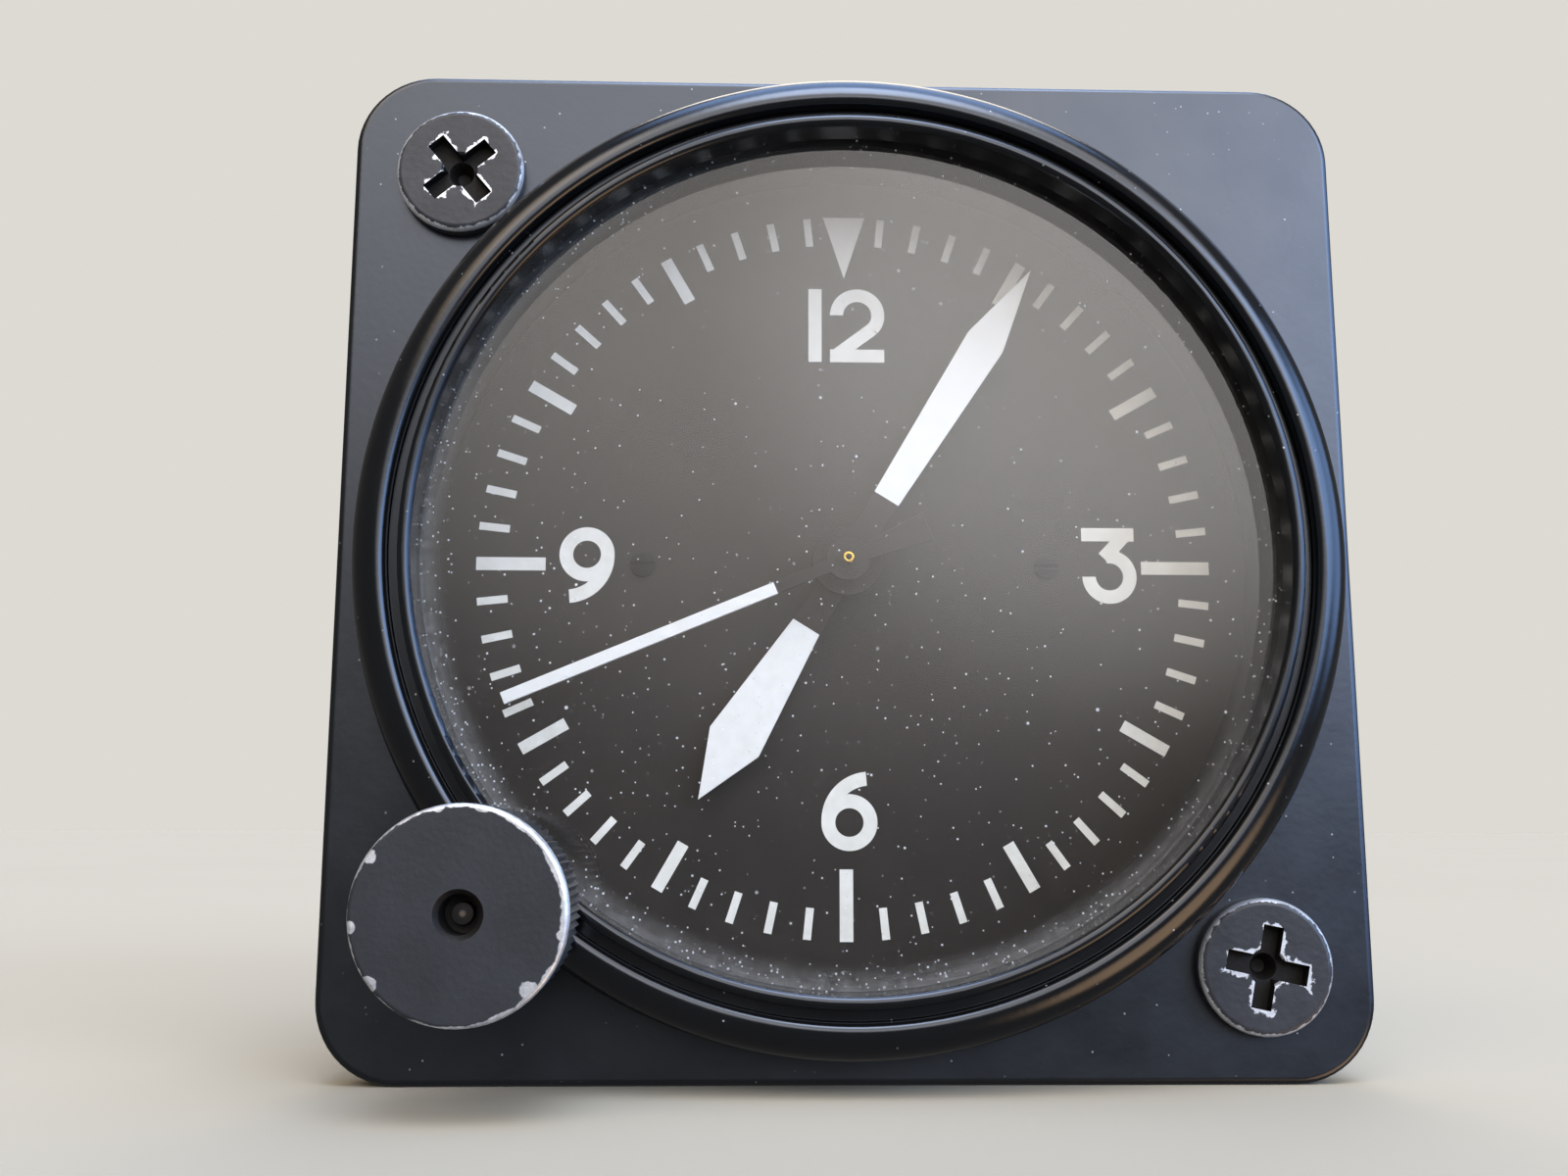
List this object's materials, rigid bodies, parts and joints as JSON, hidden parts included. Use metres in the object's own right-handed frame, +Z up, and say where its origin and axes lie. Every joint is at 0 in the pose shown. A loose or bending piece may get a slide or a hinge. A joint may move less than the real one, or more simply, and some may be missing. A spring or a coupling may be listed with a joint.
{
  "type": "aircraft clock",
  "caption": "Panel clock for an aircraft: square black flange, round raised rim, dial with sweep seconds, corner knob to wind and set, spring movement in a rear can.",
  "frame": {"origin": "centre of the flange's back face, on the dial's axis", "axes": "+X right and +Z up (12 o'clock) for someone looking at the dial, +Y into the panel; the dial faces -Y"},
  "size_m": [0.0604, 0.0457, 0.0604],
  "materials": {
    "case_paint": "satin black paint on a die casting",
    "ring_paint": "semi-gloss black paint",
    "clock_glass": "clear flat glass",
    "gasket_rubber": "matt black rubber",
    "dial_paint": "matt black paint with white print",
    "blackened_steel": "black oxide on steel",
    "knob_paint": "black finish, worn bright at the edge",
    "hand_paint": "white fill on dark hands",
    "bright_brass": "turned brass",
    "plate_brass": "brushed brass",
    "wheel_brass": "polished brass",
    "polished_steel": "polished steel",
    "spring_steel": "tempered spring steel"
  },
  "bodies": {
    "case": {"case_casting": "case_paint", "retaining_ring": "ring_paint", "glass": "clock_glass", "glass_gasket": "gasket_rubber", "dial": "dial_paint", "dial_screws": "blackened_steel", "dial_posts": "plate_brass", "spacer_ring": "plate_brass", "front_plate": "plate_brass", "rear_plate": "plate_brass", "pillars": "plate_brass", "pillar_screws": "polished_steel", "centre_bush": "plate_brass", "rear_can": "case_paint", "can_gasket": "gasket_rubber", "can_screws": "polished_steel", "mounting_screws": "blackened_steel", "stem_bush": "plate_brass", "wheel_posts": "polished_steel", "click_screw": "blackened_steel", "click_spring": "spring_steel", "pallet_bridge": "plate_brass", "bridge_screw": "blackened_steel", "hairspring_stud": "polished_steel", "hairspring": "spring_steel"},
    "stem_slide": {"stem_collar": "polished_steel"},
    "knob": {"knob": "knob_paint", "knob_screw": "blackened_steel", "winding_stem": "polished_steel", "winding_pinion": "polished_steel"},
    "winding_wheel": {"winding_wheel": "wheel_brass"},
    "ratchet": {"ratchet_wheel": "polished_steel", "ratchet_screw": "blackened_steel", "barrel_arbor": "polished_steel"},
    "click": {"click": "polished_steel"},
    "barrel": {"barrel_drum": "wheel_brass", "barrel_cover": "plate_brass", "mainspring": "spring_steel"},
    "intermediate": {"intermediate_arbor": "polished_steel", "intermediate_wheel": "wheel_brass"},
    "centre": {"centre_arbor": "polished_steel", "centre_wheel": "wheel_brass", "cannon_pinion": "polished_steel", "minute_hand": "hand_paint"},
    "third": {"third_arbor": "polished_steel", "third_wheel": "wheel_brass"},
    "seconds": {"seconds_arbor": "polished_steel", "seconds_pipe": "bright_brass", "fourth_wheel": "wheel_brass", "seconds_hand": "hand_paint"},
    "minute_wheel": {"minute_wheel": "wheel_brass"},
    "hour": {"hour_wheel": "wheel_brass", "hour_hand": "hand_paint"},
    "setting": {"setting_wheel": "wheel_brass"},
    "escape": {"escape_arbor": "polished_steel", "escape_wheel": "polished_steel"},
    "pallet": {"pallet_fork": "polished_steel"},
    "balance": {"balance_wheel": "wheel_brass", "balance_staff": "polished_steel"}
  },
  "joints": [
    {"name": "knob_pull", "type": "slide", "parent": "case", "child": "stem_slide", "axis": [0, -1, 0], "range_m": [0, 0.0014]},
    {"name": "knob_turn", "type": "hinge", "parent": "stem_slide", "child": "knob", "pos_m": [-0.02, 0, -0.02], "axis": [0, 1, 0], "continuous": true},
    {"name": "winding_wheel_turn", "type": "hinge", "parent": "case", "child": "winding_wheel", "pos_m": [-0.01285, 0, -0.01741], "axis": [0, 1, 0], "continuous": true},
    {"name": "ratchet_turn", "type": "hinge", "parent": "case", "child": "ratchet", "pos_m": [-0.00195, 0, -0.01346], "axis": [0, 1, 0], "continuous": true},
    {"name": "click_lift", "type": "hinge", "parent": "case", "child": "click", "pos_m": [0.00713, 0, -0.01589], "axis": [0, 1, 0], "range_deg": [0, 6], "stiffness_Nm_per_rad": 0.00002},
    {"name": "seconds_turn", "type": "hinge", "parent": "case", "child": "seconds", "pos_m": [0, 0, 0], "axis": [0, 1, 0], "continuous": true},
    {"name": "minute_turn", "type": "hinge", "parent": "case", "child": "centre", "pos_m": [0, 0, 0], "axis": [0, 1, 0], "continuous": true},
    {"name": "hour_turn", "type": "hinge", "parent": "case", "child": "hour", "pos_m": [0, 0, 0], "axis": [0, 1, 0], "continuous": true},
    {"name": "minute_wheel_turn", "type": "hinge", "parent": "case", "child": "minute_wheel", "pos_m": [-0.00372, 0, -0.00616], "axis": [0, 1, 0], "continuous": true},
    {"name": "setting_wheel_turn", "type": "hinge", "parent": "case", "child": "setting", "pos_m": [-0.01529, 0, -0.01115], "axis": [0, 1, 0], "continuous": true},
    {"name": "third_turn", "type": "hinge", "parent": "case", "child": "third", "pos_m": [0.00233, 0, 0.00869], "axis": [0, 1, 0], "continuous": true},
    {"name": "intermediate_turn", "type": "hinge", "parent": "case", "child": "intermediate", "pos_m": [0.00637, 0, -0.00636], "axis": [0, 1, 0], "continuous": true},
    {"name": "barrel_turn", "type": "hinge", "parent": "case", "child": "barrel", "pos_m": [-0.00195, 0, -0.01346], "axis": [0, 1, 0], "continuous": true},
    {"name": "escape_turn", "type": "hinge", "parent": "case", "child": "escape", "pos_m": [-0.0085, 0, 0.00228], "axis": [0, 1, 0], "continuous": true},
    {"name": "pallet_rock", "type": "hinge", "parent": "case", "child": "pallet", "pos_m": [-0.00975, 0, 0.00722], "axis": [0, 1, 0], "range_deg": [-4, 4]},
    {"name": "balance_swing", "type": "hinge", "parent": "case", "child": "balance", "pos_m": [-0.01061, 0, 0.01061], "axis": [0, 1, 0], "range_deg": [-220, 220], "stiffness_Nm_per_rad": 0.000004}
  ],
  "couplings": [
    {"joint": "winding_wheel_turn", "follows": "knob_turn", "ratio": -0.35714},
    {"joint": "ratchet_turn", "follows": "knob_turn", "ratio": 0.33333},
    {"joint": "minute_turn", "follows": "seconds_turn", "ratio": 0.016667},
    {"joint": "hour_turn", "follows": "seconds_turn", "ratio": 0.0013889},
    {"joint": "minute_wheel_turn", "follows": "seconds_turn", "ratio": -0.0055556},
    {"joint": "setting_wheel_turn", "follows": "seconds_turn", "ratio": 0.0041667},
    {"joint": "third_turn", "follows": "seconds_turn", "ratio": -0.13333},
    {"joint": "intermediate_turn", "follows": "seconds_turn", "ratio": -0.0041667},
    {"joint": "barrel_turn", "follows": "seconds_turn", "ratio": 0.00052083},
    {"joint": "escape_turn", "follows": "seconds_turn", "ratio": -10}
  ]
}
